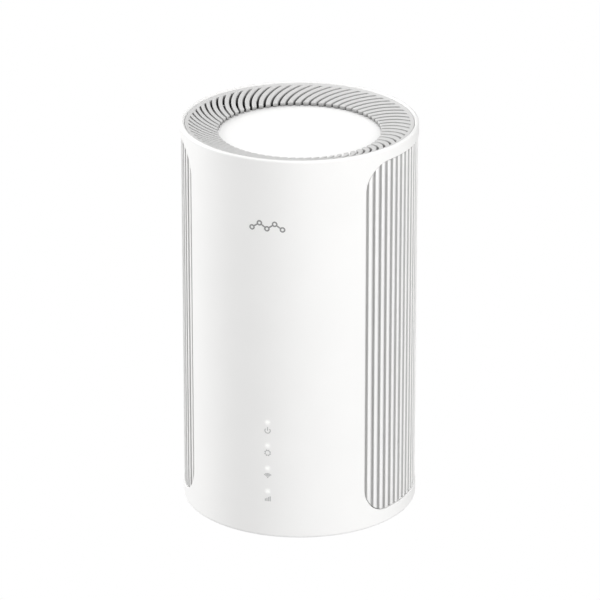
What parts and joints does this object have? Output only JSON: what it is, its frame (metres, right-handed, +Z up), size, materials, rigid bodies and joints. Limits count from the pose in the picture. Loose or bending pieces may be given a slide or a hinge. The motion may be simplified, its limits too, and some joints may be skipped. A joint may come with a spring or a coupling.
{
  "type": "mesh wifi node",
  "caption": "Upright cylindrical mesh wifi node with a swirled vent ring round a plain top disc, reeded side panels, front status lights and a recessed rear socket tray.",
  "frame": {"origin": "on the surface it stands on, below the cylinder's axis", "axes": "+Z up along the cylinder's axis, -Y towards the front with the status lights, +X to the right of a person who looks at the front"},
  "size_m": [0.112, 0.112, 0.191],
  "materials": {
    "shell_white": "fine satin moulded",
    "rib_white": "satin moulded ribs",
    "grille_grey": "matt moulded",
    "dark_plastic": "matt moulded",
    "connector_black": "satin moulded",
    "foot_rubber": "soft matt",
    "screw_steel": "plated",
    "tinned_steel": "pressed sheet",
    "heat_sink_aluminium": "extruded",
    "contact_brass": "plated",
    "board_green": "solder mask",
    "thermal_pad": "soft",
    "clear_plastic": "polished clear",
    "antenna_copper": "foil",
    "cable_grey": "jacket",
    "ribbon_white": "flat flexible",
    "label_silver": "blank printed film"
  },
  "bodies": {
    "casing": {"outer_sleeve": "shell_white", "top_cap": "shell_white", "base_cover": "shell_white", "right_vent_panel": "rib_white", "left_vent_panel": "rib_white", "top_grille": "grille_grey", "rear_io_bezel": "grille_grey", "rubber_foot_1": "foot_rubber", "rubber_foot_2": "foot_rubber", "rubber_foot_3": "foot_rubber", "rubber_foot_4": "foot_rubber", "base_screw_1": "screw_steel", "base_screw_2": "screw_steel", "base_screw_3": "screw_steel", "base_screw_4": "screw_steel", "heat_sink_screw_1": "screw_steel", "heat_sink_screw_2": "screw_steel", "board_screw_1": "screw_steel", "board_screw_2": "screw_steel", "rating_label": "label_silver", "wan_jack_shield": "tinned_steel", "lan_jack_shield": "tinned_steel", "radio_shield_1": "tinned_steel", "radio_shield_2": "tinned_steel", "wan_jack_insert": "connector_black", "lan_jack_insert": "connector_black", "power_jack_body": "connector_black", "mesh_switch": "connector_black", "reset_switch": "connector_black", "soc_chip": "connector_black", "memory_chip": "connector_black", "power_jack_pin": "contact_brass", "cable_plug_1": "contact_brass", "cable_plug_2": "contact_brass", "cable_plug_3": "contact_brass", "cable_plug_4": "contact_brass", "main_board": "board_green", "led_board": "board_green", "thermal_pad": "thermal_pad", "heat_sink": "heat_sink_aluminium", "light_guide": "clear_plastic", "led_1": "clear_plastic", "led_2": "clear_plastic", "led_3": "clear_plastic", "led_4": "clear_plastic", "light_baffle": "dark_plastic", "inner_frame": "dark_plastic", "led_ribbon_cable": "ribbon_white", "antenna_1": "antenna_copper", "antenna_2": "antenna_copper", "antenna_3": "antenna_copper", "antenna_4": "antenna_copper", "antenna_cable_1": "cable_grey", "antenna_cable_2": "cable_grey", "antenna_cable_3": "cable_grey", "antenna_cable_4": "cable_grey"},
    "mesh_button": {"mesh_button": "shell_white"},
    "reset_plunger": {"reset_plunger": "grille_grey"}
  },
  "joints": [
    {"name": "mesh_button_press", "type": "slide", "parent": "casing", "child": "mesh_button", "axis": [0, -1, 0], "range_m": [0, 0.0006], "stiffness_N_per_m": 600},
    {"name": "reset_press", "type": "slide", "parent": "casing", "child": "reset_plunger", "axis": [0, -1, 0], "range_m": [0, 0.0004], "stiffness_N_per_m": 500}
  ]
}
